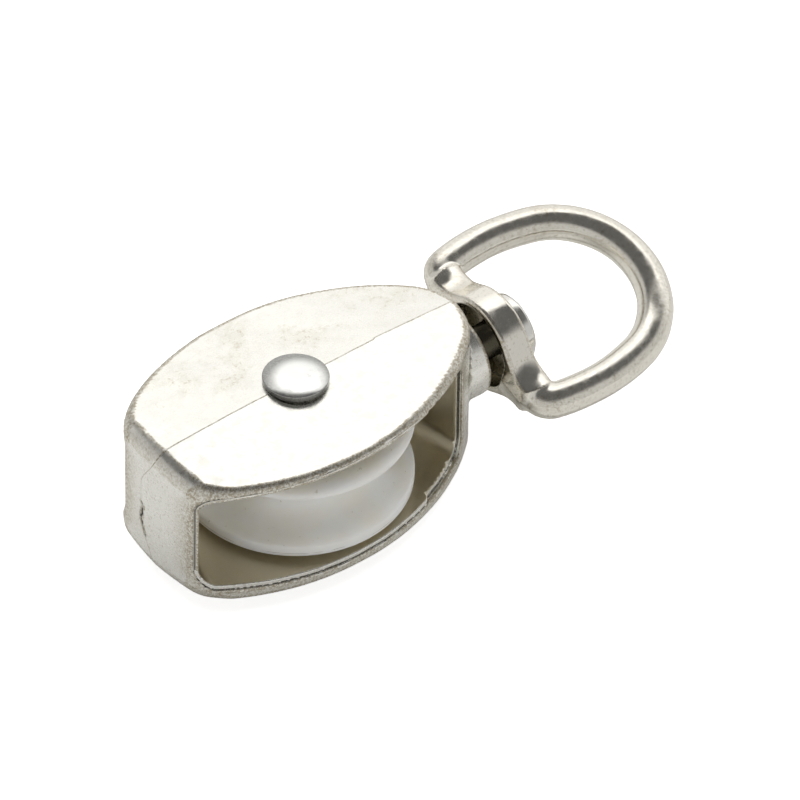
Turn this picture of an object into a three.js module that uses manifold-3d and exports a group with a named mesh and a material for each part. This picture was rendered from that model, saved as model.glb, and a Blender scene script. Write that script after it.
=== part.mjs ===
// Single sheave block with a swivel eye, as a boat chandler sells it.
// Millimetres. The axle stands on the Z axis, +X runs from the axle to the eye,
// and z = 0 is the flat end of the lower rivet head that the block lies on.

import * as THREE from 'three';
import { mergeVertices } from 'three/addons/utils/BufferGeometryUtils.js';
import Module from 'manifold-3d';

const wasm = await Module();
wasm.setup();

// ---- Driving dimensions -------------------------------------------------

// Sheave
const SHEAVE_RADIUS = 12.7;
const RIM_HALF_WIDTH = 4.95;
const SHEAVE_HUB_RADIUS = 5.2;
const SHEAVE_HUB_HALF_WIDTH = 5.1;
const GROOVE_ROUND_RADIUS = 3.4;
const GROOVE_FLOOR_RADIUS = 8.5;
const RIM_EDGE_RADIUS = 0.35;

// Axle rivet and swivel pin
const SHANK_RADIUS = 2.0;
const RUNNING_CLEARANCE = 0.09;
const SEAT_GAP = 0.06;
const AXLE_HEAD_RADIUS = 3.58;
const AXLE_HEAD_RIM = 0.5;
const AXLE_HEAD_RISE = 0.45;
const AXLE_HEAD_FLAT_RADIUS = 1.5;
const PIN_HEAD_RADIUS = 3.9;
const PIN_HEAD_RIM = 1.6;
const PIN_HEAD_RISE = 0.7;
const PIN_HEAD_FLAT_RADIUS = 2.0;
const PIN_FOOT_RADIUS = 2.95;
const PIN_FOOT_THICKNESS = 1.2;

// Housing, seen from above: two side arcs, a round nose and a blunt, slightly bowed stern
const HALF_WIDTH = 12.75;
const SIDE_ARC_RADIUS = 29.5;
const SIDE_ARC_X = -0.6;
const NOSE_X = 21.4;
const STERN_X = -18.7;
const STERN_ARC_RADIUS = 36;
const STERN_CORNER_RADIUS = 1.4;

// Housing, seen from the side: each cheek falls away from a ridge over the long axis
const RIDGE_HALF_HEIGHT = 8.95;
const CHEEK_SLOPE = 0.078;
const CROWN_START = 6.5;
const CROWN_RATE = 0.003;
const EDGE_RADIUS = 0.7;

// Cavity, open at both sides, with draft for the two cores that meet at y = 0.
// The cores draw more from the upper cheek than from the lower one.
const CAVITY_HALF_HEIGHT = 5.3;
const CAVITY_UPPER_DRAFT = 0.14;
const CAVITY_LOWER_DRAFT = 0.055;
const HEAD_WALL_X = 14.8;
const HEAD_WALL_DRAFT = 0.25;
const STERN_WALL_X = -16.2;
const STERN_WALL_DRAFT = 0.21;
const CAVITY_CORNER_RADIUS = 1.6;
const CAVITY_REACH = 14.5;

// Neck boss on the nose
const NECK_RADIUS = 4.85;
const NECK_START_X = 17;
const NECK_END_X = 22.7;
const NECK_CHAMFER = 0.4;
const PIN_FOOT_SEAT_X = 16.4;
const PIN_FOOT_SEAT_RADIUS = 3.3;

// Swivel eye
const BAR_RADIUS = 1.95;
const EYE_HUB_RADIUS = 5.7;
const EYE_HUB_START_X = 24.15;
const EYE_HUB_END_X = 27.5;
const ARM_X = 26.05;
const EYE_CUP_RADIUS = 4.85;
const EYE_CUP_DEPTH = 2.2;
const BRIDGE_FILLET_RADIUS = 2.5;
const BRIDGE_CHAMFER = 0.3;
const SHOULDER_RADIUS = 1.6;
const SHOULDER_Y = 8.3;
const CROWN_RADIUS = 9.85;
const CROWN_CENTRE_X = 36.1;
const FLANK_RADIUS = 24;
const EYE_ROLL = THREE.MathUtils.degToRad(15.3);

// Facets
const ROUND_SEGMENTS = 48;
const SHEAVE_SEGMENTS = 60;
const BAR_SIDES = 14;
const BAR_STEPS = 60;
const EDGE_STEPS = 3;

// Height of the middle plane over the flat end of the lower rivet head
const AXLE_SEAT_Z = RIDGE_HALF_HEIGHT + SEAT_GAP;
const MID_Z = AXLE_SEAT_Z + AXLE_HEAD_RIM + AXLE_HEAD_RISE;

// ---- Solids -------------------------------------------------------------

function toSolid(geometry) {
  geometry.deleteAttribute('normal');
  geometry.deleteAttribute('uv');
  const merged = mergeVertices(geometry, 1e-5);
  const triVerts = [];
  for (let i = 0; i < merged.index.count; i += 3) {
    const [a, b, c] = [0, 1, 2].map((k) => merged.index.getX(i + k));
    if (a !== b && b !== c && c !== a) {
      triVerts.push(a, b, c);
    }
  }
  return new wasm.Manifold(new wasm.Mesh({
    numProp: 3,
    vertProperties: new Float32Array(merged.attributes.position.array),
    triVerts: new Uint32Array(triVerts),
  }));
}

function toGeometry(solid) {
  const mesh = solid.getMesh();
  const geometry = new THREE.BufferGeometry();
  geometry.setAttribute('position', new THREE.BufferAttribute(mesh.vertProperties, 3));
  geometry.setIndex(new THREE.BufferAttribute(mesh.triVerts, 1));
  geometry.computeVertexNormals();
  return geometry;
}

// A profile of [radius, height] pairs turned about Z
function turnedAboutZ(profile, segments = ROUND_SEGMENTS) {
  const points = profile.map(([radius, height]) => new THREE.Vector2(radius, height));
  return new THREE.LatheGeometry(points, segments).rotateX(Math.PI / 2);
}

// A profile of [radius, x] pairs turned about X
function turnedAboutX(profile, segments = ROUND_SEGMENTS) {
  const points = profile.map(([radius, x]) => new THREE.Vector2(radius, x));
  return new THREE.LatheGeometry(points, segments).rotateZ(-Math.PI / 2);
}

// A plain round plug along X, for bores and seats
function plugAlongX(radius, startX, endX) {
  return toSolid(turnedAboutX([[0, startX], [radius, startX], [radius, endX], [0, endX]]));
}

// Points from angle a to angle b on a circle, both ends included
function arc(centreX, centreY, radius, a, b, steps) {
  return Array.from({ length: steps + 1 }, (_, i) => {
    const angle = THREE.MathUtils.lerp(a, b, i / steps);
    return [centreX + radius * Math.cos(angle), centreY + radius * Math.sin(angle)];
  });
}

// Joins rings of equal length into one closed skin; the end rings are closed by capFaces
function skin(rings, capFaces) {
  const count = rings[0].length;
  const points = rings.flat();
  const faces = [];
  for (let r = 0; r + 1 < rings.length; r++) {
    for (let i = 0; i < count; i++) {
      const next = (i + 1) % count;
      const [a, b] = [r * count + i, r * count + next];
      faces.push(a, b, b + count, a, b + count, a + count);
    }
  }
  capFaces(points, faces, 0, count, true);
  capFaces(points, faces, (rings.length - 1) * count, count, false);
  const geometry = new THREE.BufferGeometry();
  geometry.setAttribute('position', new THREE.Float32BufferAttribute(points.flat(), 3));
  geometry.setIndex(faces);
  return geometry;
}

function addFace(faces, a, b, c, reversed) {
  faces.push(...(reversed ? [a, c, b] : [a, b, c]));
}

// ---- Housing ------------------------------------------------------------

// The two points where two circles meet, the one with the larger y first
function circlesMeet(x1, y1, r1, x2, y2, r2) {
  const distance = Math.hypot(x2 - x1, y2 - y1);
  const along = (r1 * r1 - r2 * r2 + distance * distance) / (2 * distance);
  const across = Math.sqrt(r1 * r1 - along * along);
  const [ux, uy] = [(x2 - x1) / distance, (y2 - y1) / distance];
  const candidates = [1, -1].map((side) => [
    x1 + along * ux - side * across * uy,
    y1 + along * uy + side * across * ux,
  ]);
  return candidates.sort((a, b) => b[1] - a[1]);
}

// Plan outline from the nose over +Y to the stern and back, moved inwards by inset
function planOutline(inset) {
  const sideY = HALF_WIDTH - SIDE_ARC_RADIUS;
  const reach = NOSE_X - SIDE_ARC_X;
  const noseRadius = (SIDE_ARC_RADIUS ** 2 - sideY ** 2 - reach ** 2) / (2 * (SIDE_ARC_RADIUS - reach));
  const noseX = NOSE_X - noseRadius;
  const sternX = STERN_X + STERN_ARC_RADIUS;
  const [cornerX, cornerY] = circlesMeet(
    SIDE_ARC_X, sideY, SIDE_ARC_RADIUS - STERN_CORNER_RADIUS,
    sternX, 0, STERN_ARC_RADIUS - STERN_CORNER_RADIUS,
  )[0];
  const noseEnd = Math.atan2(-sideY, noseX - SIDE_ARC_X);
  const sideEnd = Math.atan2(cornerY - sideY, cornerX - SIDE_ARC_X);
  const cornerEnd = Math.atan2(cornerY, cornerX - sternX);
  const half = [
    ...arc(noseX, 0, noseRadius - inset, 0, noseEnd, 12).slice(0, -1),
    ...arc(SIDE_ARC_X, sideY, SIDE_ARC_RADIUS - inset, noseEnd, sideEnd, 22).slice(0, -1),
    ...arc(cornerX, cornerY, STERN_CORNER_RADIUS - inset, sideEnd, cornerEnd, 5).slice(0, -1),
    ...arc(sternX, 0, STERN_ARC_RADIUS - inset, cornerEnd, Math.PI, 6),
  ];
  half[half.length - 1][1] = 0;
  const otherHalf = half.slice(1, -1).reverse().map(([x, y]) => [x, -y]);
  return [...half, ...otherHalf];
}

// Height of a cheek's face over the middle plane
function cheekHeight(x, y) {
  const pastFlat = Math.max(0, Math.abs(x) - CROWN_START);
  return RIDGE_HALF_HEIGHT - CROWN_RATE * pastFlat ** 2 - CHEEK_SLOPE * Math.abs(y);
}

// Closes a cheek with two drafted faces that meet at the ridge over y = 0
function capCheek(points, faces, first, count, reversed) {
  const stern = count / 2;
  const side = reversed ? -1 : 1;
  const ridge = [first];
  for (let i = 1; i < stern; i++) {
    const x = points[first + i][0];
    ridge.push(points.push([x, 0, side * cheekHeight(x, 0)]) - 1);
  }
  ridge.push(first + stern);
  for (let i = 0; i < stern; i++) {
    const [left, leftNext] = [first + i, first + i + 1];
    const [right, rightNext] = [first + (count - i) % count, first + count - i - 1];
    if (i > 0) {
      addFace(faces, left, leftNext, ridge[i], reversed);
      addFace(faces, right, ridge[i], rightNext, reversed);
    }
    if (i + 1 < stern) {
      addFace(faces, leftNext, ridge[i + 1], ridge[i], reversed);
      addFace(faces, ridge[i], ridge[i + 1], rightNext, reversed);
    }
  }
}

// The outer casting: vertical walls, with rounded edges up to the cheek faces
function housingShell() {
  const flat = planOutline(EDGE_RADIUS);
  const upper = Array.from({ length: EDGE_STEPS + 1 }, (_, i) => {
    const angle = (Math.PI / 2) * (i / EDGE_STEPS);
    const outline = planOutline(EDGE_RADIUS * (1 - Math.cos(angle)));
    const drop = EDGE_RADIUS * (1 - Math.sin(angle));
    return outline.map(([x, y], k) => [x, y, cheekHeight(...flat[k]) - drop]);
  });
  const lower = upper.map((ring) => ring.map(([x, y, z]) => [x, y, -z])).reverse();
  return toSolid(skin([...lower, ...upper], capCheek));
}

function capFan(points, faces, first, count, reversed) {
  for (let i = 1; i + 1 < count; i++) {
    addFace(faces, first, first + i, first + i + 1, reversed);
  }
}

// The cavity's section at a distance from the middle: a rectangle with round corners
function cavitySection(y) {
  const away = Math.abs(y);
  const radius = CAVITY_CORNER_RADIUS;
  const top = CAVITY_HALF_HEIGHT + CAVITY_UPPER_DRAFT * away - radius;
  const bottom = -CAVITY_HALF_HEIGHT - CAVITY_LOWER_DRAFT * away + radius;
  const head = HEAD_WALL_X + HEAD_WALL_DRAFT * away - radius;
  const stern = STERN_WALL_X - STERN_WALL_DRAFT * away + radius;
  const corners = [[head, bottom], [head, top], [stern, top], [stern, bottom]];
  return corners.flatMap(([x, z], i) => {
    const start = (i - 1) * (Math.PI / 2);
    return arc(x, z, radius, start, start + Math.PI / 2, 5).map(([px, pz]) => [px, y, pz]);
  });
}

function housing() {
  const neck = toSolid(turnedAboutX([
    [0, NECK_START_X],
    [NECK_RADIUS, NECK_START_X],
    [NECK_RADIUS, NECK_END_X - NECK_CHAMFER],
    [NECK_RADIUS - NECK_CHAMFER, NECK_END_X],
    [0, NECK_END_X],
  ]));
  const cavity = toSolid(skin([CAVITY_REACH, 0, -CAVITY_REACH].map(cavitySection), capFan));
  const boreRadius = SHANK_RADIUS + RUNNING_CLEARANCE;
  const boreLength = 3 * RIDGE_HALF_HEIGHT;
  const axleBore = new THREE.CylinderGeometry(boreRadius, boreRadius, boreLength, ROUND_SEGMENTS);
  return housingShell()
    .add(neck)
    .subtract(cavity)
    .subtract(toSolid(axleBore.rotateX(Math.PI / 2)))
    .subtract(plugAlongX(boreRadius, HEAD_WALL_X - 1, NECK_END_X + 1))
    .subtract(plugAlongX(PIN_FOOT_SEAT_RADIUS, HEAD_WALL_X - 1, PIN_FOOT_SEAT_X));
}

// ---- Sheave and rivets --------------------------------------------------

function sheave() {
  const bore = SHANK_RADIUS + RUNNING_CLEARANCE;
  const grooveCentre = GROOVE_FLOOR_RADIUS + GROOVE_ROUND_RADIUS;
  const edgeCentre = SHEAVE_RADIUS - RIM_EDGE_RADIUS;
  const edgeHeight = RIM_HALF_WIDTH - RIM_EDGE_RADIUS;
  const half = [
    [bore, SHEAVE_HUB_HALF_WIDTH],
    [SHEAVE_HUB_RADIUS, SHEAVE_HUB_HALF_WIDTH],
    [SHEAVE_HUB_RADIUS, RIM_HALF_WIDTH],
    ...arc(edgeCentre, edgeHeight, RIM_EDGE_RADIUS, Math.PI / 2, 0, 3),
    [SHEAVE_RADIUS, GROOVE_ROUND_RADIUS],
    ...arc(grooveCentre, 0, GROOVE_ROUND_RADIUS, Math.PI / 2, Math.PI, 7),
  ];
  const otherHalf = half.slice(0, -1).reverse().map(([radius, z]) => [radius, -z]);
  return turnedAboutZ([...otherHalf.reverse(), ...half.reverse(), otherHalf[0]], SHEAVE_SEGMENTS);
}

// Half profile of a headed end: underside, rim and a low dome with a flat top
function headProfile(radius, seat, rim, rise, flatRadius, steps = 5) {
  const dome = Array.from({ length: steps + 1 }, (_, i) => {
    const angle = (Math.PI / 2) * (i / steps);
    return [
      flatRadius + (radius - flatRadius) * Math.cos(angle),
      seat + rim + rise * Math.sin(angle),
    ];
  });
  return [[radius, seat], ...dome, [0, seat + rim + rise]];
}

function axleRivet() {
  const head = headProfile(
    AXLE_HEAD_RADIUS, AXLE_SEAT_Z, AXLE_HEAD_RIM, AXLE_HEAD_RISE, AXLE_HEAD_FLAT_RADIUS,
  );
  const upper = [[SHANK_RADIUS, AXLE_SEAT_Z], ...head];
  const lower = upper.map(([radius, z]) => [radius, -z]).reverse();
  return turnedAboutZ([...lower, ...upper]);
}

function swivelPin() {
  const footX = PIN_FOOT_SEAT_X - SEAT_GAP;
  return turnedAboutX([
    [0, footX - PIN_FOOT_THICKNESS],
    [PIN_FOOT_RADIUS, footX - PIN_FOOT_THICKNESS],
    [PIN_FOOT_RADIUS, footX],
    [SHANK_RADIUS, footX],
    [SHANK_RADIUS, EYE_HUB_END_X + SEAT_GAP],
    ...headProfile(
      PIN_HEAD_RADIUS, EYE_HUB_END_X + SEAT_GAP, PIN_HEAD_RIM, PIN_HEAD_RISE, PIN_HEAD_FLAT_RADIUS,
    ),
  ]);
}

// ---- Swivel eye ---------------------------------------------------------

// Centre line of the bar: tight shoulder, bowed flank, round crown, and back
function barPath() {
  const shoulderX = ARM_X + SHOULDER_RADIUS;
  const [flankX, flankY] = circlesMeet(
    shoulderX, SHOULDER_Y, FLANK_RADIUS - SHOULDER_RADIUS,
    CROWN_CENTRE_X, 0, FLANK_RADIUS - CROWN_RADIUS,
  )[1];
  const flankStart = Math.atan2(SHOULDER_Y - flankY, shoulderX - flankX);
  const flankEnd = Math.atan2(-flankY, CROWN_CENTRE_X - flankX);
  const half = [
    [ARM_X, SHOULDER_Y - 1],
    ...arc(shoulderX, SHOULDER_Y, SHOULDER_RADIUS, Math.PI, flankStart, 5),
    ...arc(flankX, flankY, FLANK_RADIUS, flankStart, flankEnd, 6).slice(1, -1),
    ...arc(CROWN_CENTRE_X, 0, CROWN_RADIUS, flankEnd, 0, 12),
  ];
  const otherHalf = half.slice(0, -1).reverse().map(([x, y]) => [x, -y]);
  const points = [...half, ...otherHalf].map(([x, y]) => new THREE.Vector3(x, y, 0));
  return new THREE.CatmullRomCurve3(points, false, 'centripetal');
}

// The bridge that joins the hub to both shoulders: arched over the hub, as thick as the bar at its ends
function bridge() {
  const height = BAR_RADIUS + BRIDGE_FILLET_RADIUS;
  const reach = EYE_HUB_RADIUS + BRIDGE_FILLET_RADIUS;
  const filletY = Math.sqrt(reach ** 2 - height ** 2);
  const hubAngle = Math.atan2(height, filletY);
  const quarter = [
    [SHOULDER_Y, BAR_RADIUS],
    ...arc(filletY, height, BRIDGE_FILLET_RADIUS, -Math.PI / 2, hubAngle - Math.PI, 5),
    ...arc(0, 0, EYE_HUB_RADIUS, hubAngle, Math.PI / 2, 7).slice(1),
  ];
  const upper = [...quarter, ...quarter.slice(0, -1).reverse().map(([y, z]) => [-y, z])];
  const outline = [...upper, ...upper.map(([y, z]) => [y, -z]).reverse()];
  const rings = [
    [EYE_HUB_START_X, BRIDGE_CHAMFER],
    [EYE_HUB_START_X + BRIDGE_CHAMFER, 0],
    [EYE_HUB_END_X - BRIDGE_CHAMFER, 0],
    [EYE_HUB_END_X, BRIDGE_CHAMFER],
  ].map(([x, inset]) => outline.map(([y, z]) => [x, y, z - Math.sign(z) * inset]));
  return toSolid(skin(rings, capMirrored));
}

// Closes an outline whose second half mirrors its first half across z = 0
function capMirrored(points, faces, first, count, reversed) {
  for (let i = 0; i + 1 < count / 2; i++) {
    const [a, b] = [first + i, first + i + 1];
    const [c, d] = [first + count - i - 2, first + count - i - 1];
    addFace(faces, a, b, c, reversed);
    addFace(faces, a, c, d, reversed);
  }
}

function swivelEye() {
  const section = new THREE.Shape(
    arc(0, 0, BAR_RADIUS, 0, 2 * Math.PI, BAR_SIDES).slice(0, -1).map((p) => new THREE.Vector2(...p)),
  );
  const bar = new THREE.ExtrudeGeometry(section, { steps: BAR_STEPS, extrudePath: barPath() });
  const boreRadius = SHANK_RADIUS + RUNNING_CLEARANCE;
  return bridge()
    .add(toSolid(bar))
    .subtract(plugAlongX(EYE_CUP_RADIUS, EYE_HUB_START_X - 2, EYE_HUB_START_X + EYE_CUP_DEPTH))
    .subtract(plugAlongX(boreRadius, EYE_HUB_START_X, EYE_HUB_END_X + 1));
}

// ---- Assembly -----------------------------------------------------------

const nickel = { color: 0xcdc8ba, roughness: 0.32, metalness: 1 };
const steel = { color: 0xb9bbbd, roughness: 0.28, metalness: 1 };
const nylon = { color: 0xe9e9e4, roughness: 0.42, metalness: 0 };

const block = new THREE.Group();
block.position.z = MID_Z;

function addPiece(parent, name, geometry, look) {
  const mesh = new THREE.Mesh(geometry, new THREE.MeshStandardMaterial(look));
  mesh.name = name;
  parent.add(mesh);
}

addPiece(block, 'housing', toGeometry(housing()), nickel);
addPiece(block, 'sheave', sheave(), nylon);
addPiece(block, 'axle_rivet', axleRivet(), steel);
addPiece(block, 'swivel_pin', swivelPin(), nickel);

// The eye rests rolled a little about the pin
const eye = new THREE.Group();
eye.rotation.x = EYE_ROLL;
block.add(eye);
addPiece(eye, 'swivel_eye', toGeometry(swivelEye()), nickel);

const assembly = new THREE.Group();
assembly.add(block);

export default assembly;
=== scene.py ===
"""Looks of the single sheave block: cast housing and eye, moulded sheave, riveted axle and swivel pin."""

import math

import bmesh
import bpy
import numpy as np
import openvdb
from mathutils import Matrix, Vector


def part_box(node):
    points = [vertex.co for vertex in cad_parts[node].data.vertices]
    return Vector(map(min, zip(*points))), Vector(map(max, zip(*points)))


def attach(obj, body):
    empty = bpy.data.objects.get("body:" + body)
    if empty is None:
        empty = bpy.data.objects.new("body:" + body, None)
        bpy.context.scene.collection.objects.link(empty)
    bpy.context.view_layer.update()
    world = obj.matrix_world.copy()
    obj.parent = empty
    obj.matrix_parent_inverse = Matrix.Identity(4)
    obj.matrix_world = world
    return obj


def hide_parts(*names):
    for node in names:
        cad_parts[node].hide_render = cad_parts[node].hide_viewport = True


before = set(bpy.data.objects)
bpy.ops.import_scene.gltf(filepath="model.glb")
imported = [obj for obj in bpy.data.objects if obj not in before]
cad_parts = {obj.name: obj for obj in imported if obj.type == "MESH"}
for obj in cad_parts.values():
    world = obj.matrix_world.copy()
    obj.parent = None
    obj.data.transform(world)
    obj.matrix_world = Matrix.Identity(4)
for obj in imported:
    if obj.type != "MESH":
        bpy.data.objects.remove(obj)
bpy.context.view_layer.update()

MM = 0.001
MICROMETRE = 1e-6
HALF_WAVE = 0.5


# ---- Sizes, in millimetres ------------------------------------------------


def node_box(node):
    """Lowest and highest corner of a CAD node, in millimetres."""
    low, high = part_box(node)
    return np.array(low) / MM, np.array(high) / MM


HOUSING_LOW, HOUSING_HIGH = node_box("housing")
SHEAVE_LOW, SHEAVE_HIGH = node_box("sheave")
_, RIVET_HIGH = node_box("axle_rivet")
PIN_LOW, PIN_HIGH = node_box("swivel_pin")
EYE_LOW, EYE_HIGH = node_box("swivel_eye")

MID_Z = (SHEAVE_LOW[2] + SHEAVE_HIGH[2]) / 2

# Housing plan: two side arcs, a round nose and a blunt stern
HALF_WIDTH = HOUSING_HIGH[1]
STERN_X = HOUSING_LOW[0]
NECK_END_X = HOUSING_HIGH[0]
NOSE_X = 21.4
SIDE_ARC_RADIUS = 29.5
SIDE_ARC_X = -0.6
STERN_ARC_RADIUS = 36.0
STERN_CORNER_RADIUS = 1.4

# Cheeks
RIDGE_HALF_HEIGHT = HOUSING_HIGH[2] - MID_Z
CHEEK_SLOPE = 0.078
CROWN_START = 6.5
CROWN_RATE = 0.003
EDGE_RADIUS = 0.75
STERN_EDGE_RADIUS = 1.8
STERN_EDGE_X = (-14.5, -17.8)
RIDGE_SOFTNESS = 0.12

# Cavity
CAVITY_HALF_HEIGHT = 5.3
CAVITY_UPPER_DRAFT = 0.14
CAVITY_LOWER_DRAFT = 0.055
HEAD_WALL_X = 14.8
HEAD_WALL_DRAFT = 0.25
STERN_WALL_X = -16.2
STERN_WALL_DRAFT = 0.21
DRAFT_SOFTNESS = 0.05
CAVITY_CORNER_RADIUS = 1.6
CAVITY_SWELL_SHARE = 0.4
CORE_LINE_HEIGHT = 0.05
CORE_LINE_WIDTH = 0.12
CAVITY_RIM_RADIUS = 0.08
REBATE_STEP = 0.55
REBATE_DEPTH = 0.20
REBATE_DEPTH_HEAD = 0.62
REBATE_JOG_X = (9.3, 10.0)
REBATE_EDGE_RADIUS = 0.15

# Neck boss and its bore
NECK_RADIUS = 4.85
NECK_START_X = 17.0
NECK_EDGE_RADIUS = 0.45
NECK_FILLET_RADIUS = 0.3
SHANK_RADIUS = 2.0
SHANK_MARGIN = 0.1
BORE_RADIUS = 2.09
BORE_OVERRUN = 1.0
FAR_INSIDE = -1.0
PIN_FOOT_SEAT_X = 16.4
PIN_FOOT_SEAT_RADIUS = 3.3

# Swivel eye
BAR_RADIUS = 1.95
EYE_HUB_RADIUS = 5.7
EYE_HUB_START_X = EYE_LOW[0]
EYE_HUB_END_X = EYE_HUB_START_X + 3.4
ARM_X = EYE_LOW[0] + BAR_RADIUS
EYE_HUB_EDGE_RADIUS = 0.42
BRIDGE_FILLET_RADIUS = 2.5
EYE_BLEND_RADIUS = 1.0
ARM_LENGTH = 3.0
ARM_SINK = 0.35
EYE_CUP_RADIUS = 4.85
EYE_CUP_DEPTH = 2.2
EYE_CUP_EDGE_RADIUS = 0.15
FLASH_HEIGHT = 0.05
FLASH_WIDTH = 0.16
SHOULDER_RADIUS = 1.6
SHOULDER_Y = 8.3
CROWN_RADIUS = 9.85
CROWN_CENTRE_X = EYE_HIGH[0] - BAR_RADIUS - CROWN_RADIUS
FLANK_RADIUS = 24.0
EYE_ROLL = math.radians(15.3)

# Sheave
SHEAVE_RADIUS = SHEAVE_HIGH[0]
SHEAVE_HUB_HALF_WIDTH = SHEAVE_HIGH[2] - MID_Z
RIM_HALF_WIDTH = SHEAVE_HUB_HALF_WIDTH - 0.15
SHEAVE_HUB_RADIUS = 5.2
GROOVE_ROUND_RADIUS = 3.4
GROOVE_FLOOR_RADIUS = 8.5
HUB_EDGE_RADIUS = 0.12
HUB_FOOT = 0.08
FLANGE_LIP_RADIUS = 0.3
GROOVE_MOUTH = 0.35
WEB_START = 0.3
WEB_END = 0.1
UPPER_BEVEL = (2.0, 1.1)
LOWER_BEVEL = (0.4, 0.35)

# Rivet heads
RIVET_HEAD_RADIUS = RIVET_HIGH[0]
RIVET_TOP = RIVET_HIGH[2] - MID_Z
RIVET_SEAT = RIDGE_HALF_HEIGHT + 0.06
RIVET_RIM = 0.45
RIVET_RISE = 0.34
RIVET_POWER = 4.0
RIVET_EDGES = (0.07, 0.14)
RIVET_LEAN = 0.05
LEAN_ANGLE = math.radians(-38)
RIVET_DENT_START = 0.3
DENT_POWER = 6
BROW_SHARE = 0.3
BROW_ANGLE = math.radians(50)
# The painted reflection ring on the rivet head: its centre and reach, in millimetres
REFLECTION_RING_CENTRE = (0.04, -0.60)
REFLECTION_RING_REACH = (2.0, 3.5)
PIN_FOOT_RADIUS = 2.95
PIN_FOOT_X = (PIN_LOW[0], PIN_LOW[0] + 1.2)
PIN_HEAD_RADIUS = PIN_HIGH[1]
PIN_FOOT_EDGE = 0.2
PIN_HEAD_X = EYE_HUB_END_X + 0.06
PIN_HEAD_RIM = 1.7
PIN_HEAD_RISE = 0.55
PIN_HEAD_POWER = 2.4
PIN_HEAD_EDGE = 0.3
PIN_DENT_START = 0.9
PIN_DENT_DROP = 0.05

# Fineness of the skins
HOUSING_STEP = 0.32
EYE_STEP = 0.17
FINE_ROUNDS = 2
FINE_SETTLE_ROUNDS = 4
GRID_BACKGROUND = 3.0
SKIN_MARGIN = 0.6
ROUND_SEGMENTS = 192
SHEAVE_SEGMENTS = 256
EDGE_STEPS = 5
LIP_STEPS = 8
HEAD_EDGE_STEPS = 6
HEAD_STEPS = 48
BEVEL_STEPS = 14
WEB_STEPS = 12
GROOVE_STEPS = 40
ON_AXIS = 1e-6


# ---- Distance fields ------------------------------------------------------


def round_and(a, b, radius):
    """What is in both, with the edge between them rounded."""
    inner = np.minimum(np.maximum(a, b), -radius)
    return inner + np.hypot(np.maximum(a + radius, 0), np.maximum(b + radius, 0))


def round_or(a, b, radius):
    """What is in either, with a fillet where they meet."""
    return -round_and(-a, -b, radius)


def smooth_step(value, start, end):
    t = np.clip((value - start) / (end - start), 0, 1)
    return t * t * (3 - 2 * t)


def bell(value, width):
    return np.exp(-((value / width) ** 2))


class Waves:
    """A gentle unevenness made of a few plane waves, the same on every run."""

    def __init__(self, seed, wavelength, height, count=9):
        draw = np.random.default_rng(seed)
        directions = draw.normal(size=(count, 3))
        directions /= np.linalg.norm(directions, axis=1, keepdims=True)
        lengths = wavelength * draw.uniform(0.7, 1.5, size=(count, 1))
        self.vectors = directions * 2 * math.pi / lengths
        self.phases = draw.uniform(0, 2 * math.pi, size=count)
        self.height = height / math.sqrt(count)

    def __call__(self, x, y, z):
        total = 0.0
        for (kx, ky, kz), phase in zip(self.vectors, self.phases):
            total = total + np.sin(kx * x + ky * y + kz * z + phase)
        return self.height * total


# ---- Housing --------------------------------------------------------------

cast_swell = Waves(3, 9.0, 0.020)
cast_ripple = Waves(5, 2.6, 0.0035)


def plan_distance(x, y):
    """Distance to the housing's outline, seen from above."""
    side_y = HALF_WIDTH - SIDE_ARC_RADIUS
    reach = NOSE_X - SIDE_ARC_X
    nose_radius = (SIDE_ARC_RADIUS**2 - side_y**2 - reach**2) / (2 * (SIDE_ARC_RADIUS - reach))
    nose_x = NOSE_X - nose_radius
    across = np.abs(y)
    side = np.hypot(x - SIDE_ARC_X, across - side_y) - SIDE_ARC_RADIUS
    nose = np.hypot(x - nose_x, y) - nose_radius
    on_nose = across * (nose_x - SIDE_ARC_X) < (x - nose_x) * -side_y
    hull = np.where(on_nose, nose, side)
    stern = np.hypot(x - STERN_X - STERN_ARC_RADIUS, y) - STERN_ARC_RADIUS
    return round_and(hull, stern, STERN_CORNER_RADIUS)


def cheek_distance(x, y, z):
    across = np.sqrt(y**2 + RIDGE_SOFTNESS**2) - RIDGE_SOFTNESS
    past_flat = np.maximum(0, np.abs(x) - CROWN_START)
    height = RIDGE_HALF_HEIGHT - CROWN_RATE * past_flat**2 - CHEEK_SLOPE * across
    return (np.abs(z) - height) / math.hypot(1, CHEEK_SLOPE)


# The mould's parting line: straight along the cheeks' ridge, then off to one side down the stern
LINE_SIDESTEP = 2.45
LINE_STEP_Z = (8.2, 2.6)
LINE_STEP_X = -10
LINE_JOG = 0.14
LINE_JOG_X = (10.2, 10.6)
LINE_HEIGHT = 0.007
LINE_WIDTH = 0.06


def line_offset(x, y, z):
    """How far a point lies to the side of the mould's parting line."""
    wander = 0.02 * np.sin(0.7 * x + 0.4) + 0.01 * np.sin(1.9 * x)
    jog = LINE_JOG * (smooth_step(x, *LINE_JOG_X) - 0.5)
    down_stern = smooth_step(-np.abs(z), -LINE_STEP_Z[0], -LINE_STEP_Z[1]) * (x < LINE_STEP_X)
    return y - wander - jog - LINE_SIDESTEP * down_stern


CRACK_Z = (-5.0, 0.4)
CRACK_TAPER = (1.2, 0.9)
CRACK_ASIDE = 0.15
CRACK_WIDTH = 0.10
CRACK_DEPTH = 0.14
CRACK_PAST_X = -15


def crack_depth(x, y, z):
    """A thin cold shut in the stern wall, along the parting line."""
    jag = 0.12 * np.sin(2.1 * z) + 0.07 * np.sin(5.3 * z + 1)
    (low, high), (low_taper, high_taper) = CRACK_Z, CRACK_TAPER
    ends = smooth_step(z, low, low + low_taper) * smooth_step(-z, -high, -high + high_taper)
    return bell(line_offset(x, y, z) + CRACK_ASIDE - jag, CRACK_WIDTH) * ends * (x < CRACK_PAST_X)


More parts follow.
